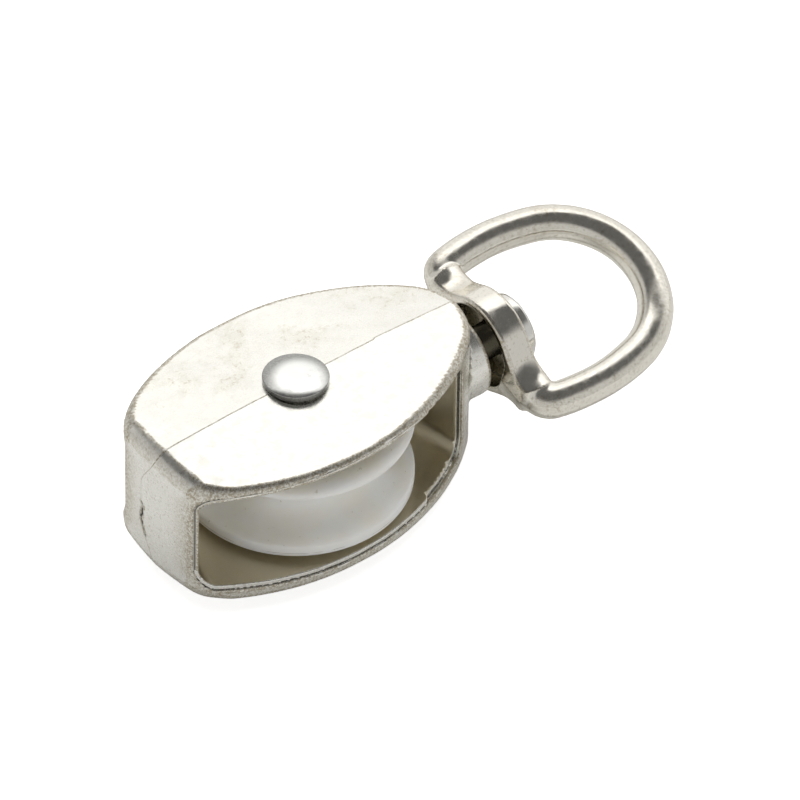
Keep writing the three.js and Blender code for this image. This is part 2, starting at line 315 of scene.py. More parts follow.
def cavity_distance(x, y, z):
    """Distance to the opening right through the housing, with drafted walls and round corners."""
    away = np.sqrt(y**2 + DRAFT_SOFTNESS**2)
    head = HEAD_WALL_X + HEAD_WALL_DRAFT * away
    stern = STERN_WALL_X - STERN_WALL_DRAFT * away
    beside = np.abs(x - (head + stern) / 2) - (head - stern) / 2 + CAVITY_CORNER_RADIUS
    draft = np.where(z > 0, CAVITY_UPPER_DRAFT, CAVITY_LOWER_DRAFT)
    above = np.abs(z) - (CAVITY_HALF_HEIGHT + draft * away) + CAVITY_CORNER_RADIUS
    outside = np.hypot(np.maximum(beside, 0), np.maximum(above, 0))
    return np.minimum(np.maximum(beside, above), 0) + outside - CAVITY_CORNER_RADIUS


def rebate_distance(x, y, z, plan):
    """A narrow step around each opening, where the core met the outer mould."""
    wander = 0.02 * np.sin(1.3 * x + 0.5)
    at_head = smooth_step(x, REBATE_JOG_X[0], REBATE_JOG_X[1])
    depth = REBATE_DEPTH + (REBATE_DEPTH_HEAD - REBATE_DEPTH) * at_head + wander
    return np.maximum(cavity_distance(x, y, z) - REBATE_STEP, -plan - depth)


def housing_field(x, y, z):
    """Signed distance to the housing, with z counted from the middle plane."""
    plan = plan_distance(x, y)
    cheek = cheek_distance(x, y, z)
    at_stern = smooth_step(-x, -STERN_EDGE_X[0], -STERN_EDGE_X[1])
    shell = round_and(plan, cheek, EDGE_RADIUS + (STERN_EDGE_RADIUS - EDGE_RADIUS) * at_stern)
    shell = shell + cast_swell(x, y, z) + cast_ripple(x, y, z)
    shell = shell - LINE_HEIGHT * bell(line_offset(x, y, z), LINE_WIDTH)
    shell = shell + CRACK_DEPTH * crack_depth(x, y, z)
    around = np.hypot(y, z)
    neck = round_and(around - NECK_RADIUS, x - NECK_END_X, NECK_EDGE_RADIUS) + cast_swell(x, y, z)
    shell = round_or(shell, np.maximum(neck, NECK_START_X - x), NECK_FILLET_RADIUS)
    cavity = cavity_distance(x, y, z) + CAVITY_SWELL_SHARE * cast_swell(x, y, z)
    cavity = cavity + CORE_LINE_HEIGHT * bell(y, CORE_LINE_WIDTH)
    shell = round_and(shell, -cavity, CAVITY_RIM_RADIUS)
    shell = round_and(shell, -rebate_distance(x, y, z, plan), REBATE_EDGE_RADIUS)
    axle_bore = BORE_RADIUS - np.hypot(x, y)
    foot_seat = -np.maximum(around - PIN_FOOT_SEAT_RADIUS, x - PIN_FOOT_SEAT_X)
    pin_bore = np.maximum(BORE_RADIUS - around, foot_seat)
    in_head = x > HEAD_WALL_X - BORE_OVERRUN
    return np.maximum(shell, np.maximum(axle_bore, np.where(in_head, pin_bore, FAR_INSIDE)))


# ---- Swivel eye -----------------------------------------------------------

eye_swell = Waves(11, 6.0, 0.018)
eye_ripple = Waves(13, 1.9, 0.0035)


def arc_distance(x, y, centre, radius, start, end):
    """Distance in the plane to an arc that runs from angle start up to angle end."""
    dx, dy = x - centre[0], y - centre[1]
    middle, half = (start + end) / 2, (end - start) / 2
    turned = (np.arctan2(dy, dx) - middle + math.pi) % (2 * math.pi) - math.pi
    nearest = middle + np.clip(turned, -half, half)
    return np.hypot(dx - radius * np.cos(nearest), dy - radius * np.sin(nearest))


def segment_distance(x, y, start, end):
    dx, dy = end[0] - start[0], end[1] - start[1]
    t = np.clip(((x - start[0]) * dx + (y - start[1]) * dy) / (dx * dx + dy * dy), 0, 1)
    return np.hypot(x - start[0] - t * dx, y - start[1] - t * dy)


def circles_meet(first, first_radius, second, second_radius):
    """The lower of the two points where two circles meet."""
    (x1, y1), (x2, y2) = first, second
    distance = math.hypot(x2 - x1, y2 - y1)
    along = (first_radius**2 - second_radius**2 + distance**2) / (2 * distance)
    across = math.sqrt(first_radius**2 - along**2)
    ux, uy = (x2 - x1) / distance, (y2 - y1) / distance
    foot_x, foot_y = x1 + along * ux, y1 + along * uy
    found = [(foot_x - side * across * uy, foot_y + side * across * ux) for side in (1, -1)]
    return min(found, key=lambda point: point[1])


def bar_line_distance(x, y):
    """Distance in the eye's plane to its bar's middle line: shoulder, bowed flank and round crown."""
    across = np.abs(y)
    shoulder, crown = (ARM_X + SHOULDER_RADIUS, SHOULDER_Y), (CROWN_CENTRE_X, 0.0)
    flank = circles_meet(shoulder, FLANK_RADIUS - SHOULDER_RADIUS, crown, FLANK_RADIUS - CROWN_RADIUS)
    flank_start = math.atan2(shoulder[1] - flank[1], shoulder[0] - flank[0])
    flank_end = math.atan2(crown[1] - flank[1], crown[0] - flank[0])
    return np.minimum.reduce([
        segment_distance(x, across, (ARM_X, SHOULDER_Y - ARM_LENGTH), (ARM_X, SHOULDER_Y)),
        arc_distance(x, across, shoulder, SHOULDER_RADIUS, flank_start, math.pi),
        arc_distance(x, across, flank, FLANK_RADIUS, flank_end, flank_start),
        arc_distance(x, across, crown, CROWN_RADIUS, 0.0, flank_end),
    ])


def eye_cup(x, y, z):
    around = np.hypot(y, z)
    return np.maximum(around - EYE_CUP_RADIUS, x - EYE_HUB_START_X - EYE_CUP_DEPTH)


def eye_field(x, y, z):
    """Signed distance to the eye in its own plane, before it is rolled."""
    flash = FLASH_HEIGHT * bell(z + 0.05 * np.sin(0.8 * x + y), FLASH_WIDTH)
    bar = np.hypot(bar_line_distance(x, y), z) - BAR_RADIUS - flash
    around = np.hypot(y, z)
    arms = np.maximum(np.abs(z) - BAR_RADIUS + ARM_SINK, np.abs(y) - SHOULDER_Y)
    bridge = round_or(around - EYE_HUB_RADIUS, arms, BRIDGE_FILLET_RADIUS)
    middle, half = (EYE_HUB_START_X + EYE_HUB_END_X) / 2, (EYE_HUB_END_X - EYE_HUB_START_X) / 2
    bridge = round_and(bridge, np.abs(x - middle) - half, EYE_HUB_EDGE_RADIUS)
    eye = round_or(bridge, bar, EYE_BLEND_RADIUS)
    eye = eye + eye_swell(x, y, z) + eye_ripple(x, y, z)
    eye = round_and(eye, -eye_cup(x, y, z), EYE_CUP_EDGE_RADIUS)
    bore = np.where(x < EYE_HUB_END_X + BORE_OVERRUN, BORE_RADIUS - around, FAR_INSIDE)
    return np.maximum(eye, bore)


# ---- Skins ----------------------------------------------------------------

# A wall is where the normal lies flatter than this: minus its Z part, from none to full
WALL_SLANT = (-0.97, -0.8)

# Where the other masks start and end, and where faces are small, in millimetres
SEAM_WIDTH = 0.07
EYE_SEAM_WIDTH = 0.2
INSIDE_CAVITY = (-0.12, 0.02)
INSIDE_PLAN = (0.25, 0.4)
INSIDE_CUP = (-0.25, 0.02)
NECK_END_DEPTH = 0.1
NECK_END_BORDER = 0.3
LIP_CAVITY = (-2.1, -0.5)
LIP_PLAN = (-0.12, -0.04)
STRIP_MIDDLE = 0.2
STRIP_CAVITY = (-0.3, -0.2)
STRIP_PLAN = (0.10, 0.16)
STRIP_TOP_Z = -4
FINE_LINE_REACH = 0.42
FINE_LINE_OFF_RIM = 0.4
FINE_LINE_START = RIVET_HEAD_RADIUS - 0.6
FINE_RIM_PLAN = -0.3
FINE_RIM_CAVITY = 0.25
FINE_RIM_REACH = 0.55


def slope(field, points, reach=0.02):
    """Gradient of a field at some points."""
    columns = []
    for axis in range(3):
        shift = np.zeros(3)
        shift[axis] = reach
        ahead, behind = field(*(points + shift).T), field(*(points - shift).T)
        columns.append((ahead - behind) / (2 * reach))
    return np.stack(columns, axis=1)


def settle(field, points, rounds=3, longest=0.08):
    """Moves points onto the field's zero surface."""
    for _ in range(rounds):
        gradient = slope(field, points)
        step = field(*points.T)[:, None] * gradient / np.maximum((gradient**2).sum(1), 0.2)[:, None]
        length = np.linalg.norm(step, axis=1, keepdims=True)
        points = points - step * np.minimum(1, longest / np.maximum(length, 1e-9))
    return points


def bend(field, points, reach=0.16):
    """How sharply the surface curves, per millimetre: over 0 on edges and under 0 in corners."""
    total = -6 * field(*points.T)
    for axis in range(3):
        shift = np.zeros(3)
        shift[axis] = reach
        total = total + field(*(points + shift).T) + field(*(points - shift).T)
    return total / reach**2


def in_scene(name, data):
    """A new object in the scene with a mesh, camera or lamp as its data."""
    made = bpy.data.objects.new(name, data)
    bpy.context.scene.collection.objects.link(made)
    return made


def polygon_mesh(name, field, low, high, step):
    """The field's zero surface as a mesh, settled onto the field."""
    axes = [np.arange(low[i], high[i] + step, step) for i in range(3)]
    values = field(*np.meshgrid(*axes, indexing="ij", sparse=True))
    grid = openvdb.FloatGrid(background=GRID_BACKGROUND)
    grid.copyFromArray(np.ascontiguousarray(values, dtype=np.float32))
    points, triangles, quads = grid.convertToPolygons(isovalue=0.0, adaptivity=0.0)
    points = settle(field, points.astype(float) * step + np.array(low))
    mesh = bpy.data.meshes.new(name)
    mesh.from_pydata(points, [], quads.tolist() + triangles.tolist())
    return mesh, points


def mesh_points(mesh):
    points = np.empty(len(mesh.vertices) * 3)
    mesh.vertices.foreach_get("co", points)
    return points.reshape(-1, 3)


def divide(mesh, field, fine):
    """Halves the mesh's edges where fine(points) says so, a few times over, and settles the points."""
    build = bmesh.new()
    build.from_mesh(mesh)
    for _ in range(FINE_ROUNDS):
        build.verts.ensure_lookup_table()
        marked = fine(np.array([v.co for v in build.verts]))
        edges = [e for e in build.edges if marked[e.verts[0].index] and marked[e.verts[1].index]]
        bmesh.ops.subdivide_edges(build, edges=edges, cuts=1, use_grid_fill=True)
        build.verts.index_update()
    build.to_mesh(mesh)
    build.free()
    points = settle(field, mesh_points(mesh), rounds=FINE_SETTLE_ROUNDS)
    mesh.vertices.foreach_set("co", points.ravel())
    return points


def skin_object(name, field, low, high, step, fine=None):
    """A smooth skin over a distance field. fine(points) marks where it needs smaller faces."""
    mesh, points = polygon_mesh(name, field, low, high, step)
    if fine is not None:
        points = divide(mesh, field, fine)
    mesh.shade_smooth()
    normals = slope(field, points)
    normals /= np.maximum(np.linalg.norm(normals, axis=1, keepdims=True), 1e-9)
    mesh.normals_split_custom_set_from_vertices(normals.tolist())
    add_mask(mesh, "edge", bend(field, points))
    add_mask(mesh, "wall", smooth_step(-np.abs(normals[:, 2]), *WALL_SLANT))
    return in_scene(name, mesh), points


def add_mask(mesh, name, values):
    attribute = mesh.attributes.new(name, "FLOAT", "POINT")
    attribute.data.foreach_set("value", np.asarray(values, dtype=np.float32))


def clean_strip(mesh, on_step):
    """Keeps the smooth rebate step free of edge wear, the painted reflection on edges and the painted
    shade in corners.
    """
    bends = np.empty(len(mesh.vertices), dtype=np.float32)
    mesh.attributes["edge"].data.foreach_get("value", bends)
    mesh.attributes["edge"].data.foreach_set("value", (bends * (1 - on_step)).astype(np.float32))


def place(piece, roll=0.0):
    """From the script's millimetres about the middle plane to the frame's metres."""
    lift = Matrix.Translation((0, 0, MID_Z * MM))
    piece.data.transform(lift @ Matrix.Rotation(roll, 4, "X") @ Matrix.Scale(MM, 4))


def fine_detail(points):
    """Where the housing's skin needs small faces: the parting line and the openings' rims."""
    x, y, z = points.T
    to_cavity = cavity_distance(x, y, z)
    on_line = np.abs(line_offset(x, y, z)) < FINE_LINE_REACH
    in_sight = (to_cavity > FINE_LINE_OFF_RIM) & (np.hypot(x, y) > FINE_LINE_START)
    near_outline = np.abs(plan_distance(x, y) - FINE_RIM_PLAN) < FINE_RIM_REACH
    near_opening = np.abs(to_cavity - FINE_RIM_CAVITY) < FINE_RIM_REACH
    return (on_line & in_sight) | (near_outline & near_opening)


def inside_share(x, y, z, to_cavity, plan):
    """The walls inside the opening and the end face of the neck, both darkened with painted shade."""
    in_opening = smooth_step(-to_cavity, *INSIDE_CAVITY) * smooth_step(-plan, *INSIDE_PLAN)
    neck_end = (x > NECK_END_X - NECK_END_DEPTH) & (np.hypot(y, z) < NECK_RADIUS - NECK_END_BORDER)
    return np.maximum(in_opening, neck_end)


def make_housing():
    low = (STERN_X - SKIN_MARGIN, -HALF_WIDTH - SKIN_MARGIN, -RIDGE_HALF_HEIGHT - SKIN_MARGIN)
    high = (NECK_END_X + SKIN_MARGIN, HALF_WIDTH + SKIN_MARGIN, RIDGE_HALF_HEIGHT + SKIN_MARGIN)
    piece, points = skin_object("cast_housing", housing_field, low, high, HOUSING_STEP, fine_detail)
    x, y, z = points.T
    to_cavity = cavity_distance(x, y, z)
    plan = plan_distance(x, y)
    inside = inside_share(x, y, z, to_cavity, plan)
    add_mask(piece.data, "seam", bell(line_offset(x, y, z), SEAM_WIDTH) * (1 - inside))
    add_mask(piece.data, "lip", smooth_step(-to_cavity, *LIP_CAVITY) * smooth_step(plan, *LIP_PLAN))
    add_mask(piece.data, "crack", crack_depth(x, y, z))
    add_mask(piece.data, "inside", inside)
    across_step = smooth_step(-np.abs(to_cavity - STRIP_MIDDLE), *STRIP_CAVITY)
    clean_strip(piece.data, across_step * smooth_step(-plan, *STRIP_PLAN) * (z < STRIP_TOP_Z))
    place(piece)
    return piece


def make_eye():
    reach = CROWN_RADIUS + BAR_RADIUS + SKIN_MARGIN
    low = (EYE_HUB_START_X - SKIN_MARGIN, -reach, -EYE_HUB_RADIUS - SKIN_MARGIN)
    high = (EYE_HIGH[0] + SKIN_MARGIN, reach, EYE_HUB_RADIUS + SKIN_MARGIN)
    piece, points = skin_object("cast_swivel_eye", eye_field, low, high, EYE_STEP)
    x, y, z = points.T
    add_mask(piece.data, "seam", bell(z, EYE_SEAM_WIDTH))
    add_mask(piece.data, "crack", np.zeros(len(points)))
    add_mask(piece.data, "lip", np.zeros(len(points)))
    # The cup's inside, which gets painted shade
    add_mask(piece.data, "inside", smooth_step(-eye_cup(x, y, z), *INSIDE_CUP))
    place(piece, EYE_ROLL)
    return piece


# ---- Turned pieces --------------------------------------------------------


def arc_points(centre, radius, start, end, count):
    angles = np.linspace(start, end, count)
    return [(centre[0] + radius * math.cos(a), centre[1] + radius * math.sin(a)) for a in angles]


def ring_points(profile, segments):
    """The points of each ring about Z, and the rings as lists of point numbers. A tip is one point."""
    angles = np.linspace(0, 2 * math.pi, segments, endpoint=False)
    points, rings = [], []
    for radius, height in profile:
        first = len(points)
        if radius < ON_AXIS:
            points.append((0.0, 0.0, height))
            rings.append([first] * segments)
        else:
            points.extend((radius * math.cos(a), radius * math.sin(a), height) for a in angles)
            rings.append(list(range(first, first + segments)))
    return np.array(points), rings


def ring_faces(rings, segments):
    faces = []
    for ring, following in rings:
        for i in range(segments):
            j = (i + 1) % segments
            face = [ring[i], ring[j], following[j], following[i]]
            faces.append(list(dict.fromkeys(face)))
    return faces


def turned(name, profile, unevenness=None, segments=ROUND_SEGMENTS):
    """A closed skin turned about Z from (radius, height) pairs, which start and end on the axis
    or close up. unevenness(x, y, z) is added to the height."""
    points, rings = ring_points(profile, segments)
    pairs = list(zip(rings, rings[1:]))
    if profile[0][0] >= ON_AXIS:
        pairs.append((rings[-1], rings[0]))
    if unevenness is not None:
        points[:, 2] += unevenness(*points.T)
    mesh = bpy.data.meshes.new(name)
    mesh.from_pydata(points.tolist(), [], ring_faces(pairs, segments))
    mesh.shade_smooth()
    return in_scene(name, mesh)


def flange_edge(inset, drop):
    """The rounded outer edge of a flange, from its flat side to its rim."""
    centre = (SHEAVE_RADIUS - inset, RIM_HALF_WIDTH - drop)
    angles = np.linspace(math.pi / 2, 0, BEVEL_STEPS)
    flat = np.linspace(SHEAVE_HUB_RADIUS + WEB_START, centre[0] - WEB_END, WEB_STEPS)
    bevel = [(centre[0] + inset * math.cos(a), centre[1] + drop * math.sin(a)) for a in angles]
    return [*[(r, RIM_HALF_WIDTH) for r in flat], *bevel]


def make_sheave():
    groove_centre = (GROOVE_FLOOR_RADIUS + GROOVE_ROUND_RADIUS, 0.0)
    edge, lip_edge = HUB_EDGE_RADIUS, FLANGE_LIP_RADIUS
    hub_edge_z = SHEAVE_HUB_HALF_WIDTH - edge
    inner = [
        *arc_points((BORE_RADIUS + edge, hub_edge_z), edge, math.pi, math.pi / 2, EDGE_STEPS),
        *arc_points((SHEAVE_HUB_RADIUS - edge, hub_edge_z), edge, math.pi / 2, 0, EDGE_STEPS),
        (SHEAVE_HUB_RADIUS + HUB_FOOT, RIM_HALF_WIDTH),
    ]
    lip_centre = (SHEAVE_RADIUS - lip_edge, GROOVE_ROUND_RADIUS + lip_edge)
    lip = [
        *arc_points(lip_centre, lip_edge, 0, -math.pi / 2, LIP_STEPS),
        (groove_centre[0] + GROOVE_MOUTH, GROOVE_ROUND_RADIUS),
        *arc_points(groove_centre, GROOVE_ROUND_RADIUS, math.pi / 2, math.pi, GROOVE_STEPS),
    ]
    above = [*inner, *flange_edge(*UPPER_BEVEL), *lip]
    below = [*inner, *flange_edge(*LOWER_BEVEL), *lip]
    profile = [*above, *[(r, -z) for r, z in below[-2::-1]]][::-1]
    piece = turned("nylon_sheave", profile, segments=SHEAVE_SEGMENTS)
    place(piece)
    return piece


def head_profile(radius, seat, rim, rise, power, edge):
    """The outside of a rivet head from its axis to its underside, as (radius, height).
    A high power keeps the dome flat up to its brow."""
    brow = radius - BROW_SHARE * edge
    r = np.linspace(0, brow, HEAD_STEPS)
    dome = list(zip(r, seat + rim + rise * (1 - (r / brow) ** power)))
    lip = arc_points((radius - edge, seat + rim - edge), edge, BROW_ANGLE, 0, HEAD_EDGE_STEPS)
    foot = arc_points((radius - edge, seat + edge), edge, 0, -math.pi / 2, HEAD_EDGE_STEPS)
    return [*dome, *lip, *foot]


rivet_dents = Waves(17, 2.6, 0.0025)
pin_dents = Waves(23, 3.2, 0.05)


def make_rivet():
    full_rise = RIVET_TOP - RIVET_SEAT - RIVET_RIM
    upper, lower = (
        head_profile(RIVET_HEAD_RADIUS, RIVET_SEAT, RIVET_RIM, rise, RIVET_POWER, edge)
        for rise, edge in zip((RIVET_RISE, full_rise), RIVET_EDGES)
    )
    upper.append((SHANK_RADIUS, RIVET_SEAT))
    lower.append((SHANK_RADIUS, RIVET_SEAT))
    below = [(r, -z) for r, z in lower[::-1]]

    def unevenness(x, y, z):
        """Small dents and a slight lean of the upper head, where the riveting tool came down."""
        from_rim = np.clip(1 - (np.hypot(x, y) / RIVET_HEAD_RADIUS) ** DENT_POWER, 0, 1)
        lean = RIVET_LEAN * (x * math.sin(LEAN_ANGLE) - y * math.cos(LEAN_ANGLE))
        on_top = z > RIVET_SEAT + RIVET_DENT_START
        return np.where(on_top, rivet_dents(x, y, z) * from_rim + lean, 0)

    piece = turned("axle_rivet_steel", [*upper, *below][::-1], unevenness)
    place(piece)
    return piece


def pin_unevenness(x, y, z):
    return np.where(z > PIN_HEAD_X + PIN_DENT_START, pin_dents(x, y, z) - PIN_DENT_DROP, 0)


def make_pin():
    head = head_profile(
        PIN_HEAD_RADIUS, PIN_HEAD_X, PIN_HEAD_RIM, PIN_HEAD_RISE, PIN_HEAD_POWER, PIN_HEAD_EDGE)
    foot_start, foot_end = PIN_FOOT_X
    edge, edge_radius = PIN_FOOT_EDGE, PIN_FOOT_RADIUS - PIN_FOOT_EDGE
    foot = [
        (SHANK_RADIUS, foot_end),
        *arc_points((edge_radius, foot_end - edge), edge, math.pi / 2, 0, HEAD_EDGE_STEPS),
        *arc_points((edge_radius, foot_start + edge), edge, 0, -math.pi / 2, HEAD_EDGE_STEPS),
        (0.0, foot_start),
    ]
    profile = [*head, (SHANK_RADIUS, PIN_HEAD_X), *foot][::-1]
    piece = turned("swivel_pin_steel", profile, pin_unevenness)
    x, y, z = mesh_points(piece.data).T
    on_shank = (np.hypot(x, y) < SHANK_RADIUS + SHANK_MARGIN) & (z < PIN_HEAD_X + SHANK_MARGIN)
    # The shank, painted dark as shade where it sits in the bore
    add_mask(piece.data, "inside", on_shank)
    piece.data.transform(Matrix.Rotation(math.pi / 2, 4, "Y"))
    place(piece)
    return piece


# ---- Materials ------------------------------------------------------------

# Colours, linear
HOUSING_NICKEL = (0.85, 0.84, 0.79)
EYE_NICKEL = (0.84, 0.81, 0.74)
# Brown of real stains, also used as painted shade on the far half of the cheeks
STAIN_AND_SHADE_BROWN = (0.52, 0.46, 0.34)
SPECK = (0.38, 0.34, 0.26)
# Painted shade inside the opening and at the neck's end, and deeper painted shade in the eye's cup
INSIDE_SHADE = (0.56, 0.50, 0.37)
CUP_SHADE = (0.32, 0.29, 0.21)
# Dark brown: patchy plating wear, and painted dark reflection along edges and the opening's lip walls
WORN_AND_REFLECTION_BROWN = (0.36, 0.30, 0.20)
# Near black: painted shade in corners and on the pin's shank, and a darker mould line
GRIME_AND_SHADE = (0.10, 0.09, 0.065)
# Black painted into the crack as shade
CRACK_SHADE = (0.03, 0.03, 0.03)
RIVET_STEEL = (0.85, 0.85, 0.83)
PIN_STEEL = (0.80, 0.79, 0.75)
SMUDGE = (0.45, 0.45, 0.43)
# Grey of the painted reflection ring on the rivet head
REFLECTION_RING_GREY = (0.24, 0.24, 0.23)
NYLON = (0.93, 0.93, 0.90)
NYLON_CLOUD = (0.90, 0.88, 0.82)
NYLON_MARK = (0.35, 0.33, 0.29)
NYLON_SPECK = (0.35, 0.31, 0.24)
NYLON_GLOW = (1.0, 0.93, 0.80)

# Sizes of the materials' noises, in millimetres
CLOUD_SIZE = 3.0
FRECKLE_SIZE = 0.28
SPECK_SIZE = 0.16
WEAR_SIZE = 0.13
PIT_SIZE = 0.17
GRAIN_SIZE = 0.11
CAST_MEDIUM_SIZE = 0.5
STEEL_FINE_SIZE = 0.10
STEEL_MEDIUM_SIZE = 0.6
NYLON_FINE_SIZE = 0.16
NYLON_BROAD_SIZE = 2.4
NYLON_SPECK_SIZE = 0.3

# Where a noise or a mask starts to count and where it counts in full
CLOUDS = (0.44, 0.66)
FRECKLES = (0.5, 0.7)
SPECKS = (0.56, 0.72)
WEAR = (0.40, 0.60)
GLOSS_NOISE = (0.3, 0.7)
EDGE_BEND = (0.25, 0.9)
CORNER_BEND = (-0.8, -2.6)
SMUDGES = (0.56, 0.8)
NYLON_CLOUDS = (0.35, 0.7)
NYLON_SPECKS = (0.70, 0.74)
MARK_GAPS = (0.46, 0.56)

# How much of each colour is mixed in, least and most where there are two
STAIN_AND_SHADE_SHARE = 0.75
FRECKLE_SHARE = (0.25, 1.0)
SPECK_SHARE = (0.10, 0.42)
WEAR_AND_REFLECTION_SHARE = (1.0, 0.1)
CORNER_SHADE_SHARE = 0.85
SEAM_SHARE = 0.18
SMUDGE_SHARE = 0.4
REFLECTION_RING_SHARE = (0.5, 1.1)
MARK_SHARE = 0.6
NYLON_SPECK_SHARE = 0.35

# The far half of the cheeks, browned more as painted shade, across the block in millimetres
SHADED_HALF_Y = (-1.0, 5.0)
SHADED_HALF_SHARE = (0.12, 1.0)

# Roughness, and depths of relief in micrometres
DULL_EDGES = 0.5
DULLING = 0.4
INSIDE_DULLING = 0.10
WALL_GRAIN = (0.45, 1.0)
INSIDE_GRAIN = (0.0, 2.0)
CAST_MEDIUM_DEPTH = 4.0
STEEL_FINE_DEPTH = 1.6
STEEL_MEDIUM_DEPTH = 2.0
STEEL_GLOSS = (0.16, 0.28)
NYLON_DEPTH = 1.2
NYLON_GLOSS = (0.32, 0.46)
NYLON_MILKINESS = 0.7
NYLON_GLOW_REACH = 2.4

# The sheave's broken mould line, low on its rim
MARK_Z = MID_Z - RIM_HALF_WIDTH + 0.55
MARK_WIDTH = (0.055, 0.02)
MARK_FROM_RIM = (1.0, 0.6)


def feed(tree, socket, value):
    """Links a socket to another one, or sets it to a constant."""
    if isinstance(value, bpy.types.NodeSocket):
        tree.links.new(value, socket)
    else:
        socket.default_value = value


def add_node(tree, kind, settings=None, **inputs):
    node = tree.nodes.new(kind)
    for name, value in (settings or {}).items():
        setattr(node, name, value)
    for name, value in inputs.items():
        feed(tree, node.inputs[name], value)
    return node


def math_node(tree, operation, a, b=0.0, c=0.0):
    node = add_node(tree, "ShaderNodeMath", {"operation": operation})
    for socket, value in zip(node.inputs, (a, b, c)):
        feed(tree, socket, value)
    return node.outputs[0]


def map_range(tree, value, start, end, low=0.0, high=1.0):
    """Takes start to end smoothly to low to high."""
    node = add_node(tree, "ShaderNodeMapRange", {"interpolation_type": "SMOOTHSTEP"})
    tree.links.new(value, node.inputs["Value"])
    for name, number in (("From Min", start), ("From Max", end), ("To Min", low), ("To Max", high)):
        node.inputs[name].default_value = number
    return node.outputs["Result"]


# Blender's numbers for the Mix node's factor and two colours, and for its colour output
MIX_INPUTS = (0, 6, 7)
MIX_OUTPUT = 2


def mix_colour(tree, share, first, second):
    node = add_node(tree, "ShaderNodeMix", {"data_type": "RGBA"})
    for number, value in zip(MIX_INPUTS, (share, first, second)):
        feed(tree, node.inputs[number], value)
    return node.outputs[MIX_OUTPUT]


def noise(tree, coordinates, size_mm, detail=3.0, roughness=0.55):
    """Noise with features of about size_mm."""
    node = add_node(tree, "ShaderNodeTexNoise", Vector=coordinates, Detail=detail, Roughness=roughness)
    node.inputs["Scale"].default_value = HALF_WAVE / (size_mm * MM)
    return node.outputs["Fac"]


def bump(tree, height, depth_um, under=None):
    node = add_node(tree, "ShaderNodeBump", Height=height)
    node.inputs["Distance"].default_value = depth_um * MICROMETRE
    node.inputs["Strength"].default_value = 1.0
    if under is not None:
        tree.links.new(under, node.inputs["Normal"])
    return node.outputs["Normal"]


def new_material(name):
    material = bpy.data.materials.new(name)
    material.use_nodes = True
    tree = material.node_tree
    tree.nodes.clear()
    output = tree.nodes.new("ShaderNodeOutputMaterial")
    shader = tree.nodes.new("ShaderNodeBsdfPrincipled")
    tree.links.new(shader.outputs[0], output.inputs["Surface"])
    coordinates = tree.nodes.new("ShaderNodeTexCoord").outputs["Object"]
    return material, tree, shader, coordinates


def attribute(tree, name):
    return add_node(tree, "ShaderNodeAttribute", {"attribute_name": name}).outputs["Fac"]


def rgb(red, green, blue):
    return (red, green, blue, 1.0)


def scaled(tree, value, low, high):
    """Stretches a 0 to 1 value to low to high."""
    return math_node(tree, "MULTIPLY_ADD", value, high - low, low)


def product(tree, *values):
    result = values[0]
    for value in values[1:]:
        result = math_node(tree, "MULTIPLY", result, value)
    return result


def stain_and_shade_share(tree, where, edge):
    """Where the plate is brownish: in stain clouds, strong on the far half of the cheeks as painted
    shade, and in freckles on edges.
    """
    across = add_node(tree, "ShaderNodeSeparateXYZ", Vector=where).outputs["Y"]
    # Painted shade: the far half of the cheeks gets more of the brown clouds
    shaded_far_half = map_range(tree, across, SHADED_HALF_Y[0] * MM, SHADED_HALF_Y[1] * MM, *SHADED_HALF_SHARE)
    clouds = map_range(tree, noise(tree, where, CLOUD_SIZE, detail=5.0, roughness=0.7), *CLOUDS)
    freckles = map_range(tree, noise(tree, where, FRECKLE_SIZE, detail=3.0, roughness=0.7), *FRECKLES)
    on_edges = product(tree, edge, freckles)
    on_faces = product(tree, shaded_far_half, clouds, scaled(tree, freckles, *FRECKLE_SHARE))
    return math_node(tree, "MAXIMUM", on_faces, on_edges)


def nickel_colour(tree, where, edge, edges_and_lip, bright, inner, edge_mark_share):
    """Stains and painted shade on the far half of the cheeks, specks, worn edges and lip walls partly
    darkened as painted reflection, painted shade inside, in corners and in the crack, and a mould line,
    in layers.
    """
    wall = attribute(tree, "wall")
    # Painted shade in concave corners and creases, stronger the sharper they curve inwards
    corner_shade = map_range(tree, attribute(tree, "edge"), *CORNER_BEND)
    specks = map_range(tree, noise(tree, where, SPECK_SIZE, detail=2.0), *SPECKS)
    rubbing = noise(tree, where, WEAR_SIZE, detail=4.0, roughness=0.8)
    patches = map_range(tree, rubbing, *WEAR, *WEAR_AND_REFLECTION_SHARE)
    layers = [
        # Brown stains, with painted shade on the far half of the cheeks
        (product(tree, stain_and_shade_share(tree, where, edge), STAIN_AND_SHADE_SHARE), STAIN_AND_SHADE_BROWN),
        (product(tree, specks, scaled(tree, wall, *SPECK_SHARE)), SPECK),
        # Patchy wear, with painted dark reflection on edges and lip walls
        (product(tree, edges_and_lip, patches, edge_mark_share), WORN_AND_REFLECTION_BROWN),
        # Painted shade inside the opening, at the neck's end and in the eye's cup
        (attribute(tree, "inside"), inner),
        # Painted shade in corners
        (product(tree, corner_shade, CORNER_SHADE_SHARE), GRIME_AND_SHADE),
        (product(tree, attribute(tree, "seam"), SEAM_SHARE), GRIME_AND_SHADE),
        # Painted shade in the crack
        (attribute(tree, "crack"), CRACK_SHADE),
    ]
    colour = rgb(*bright)
    for share, layer in layers:
        colour = mix_colour(tree, share, colour, rgb(*layer))
    return colour


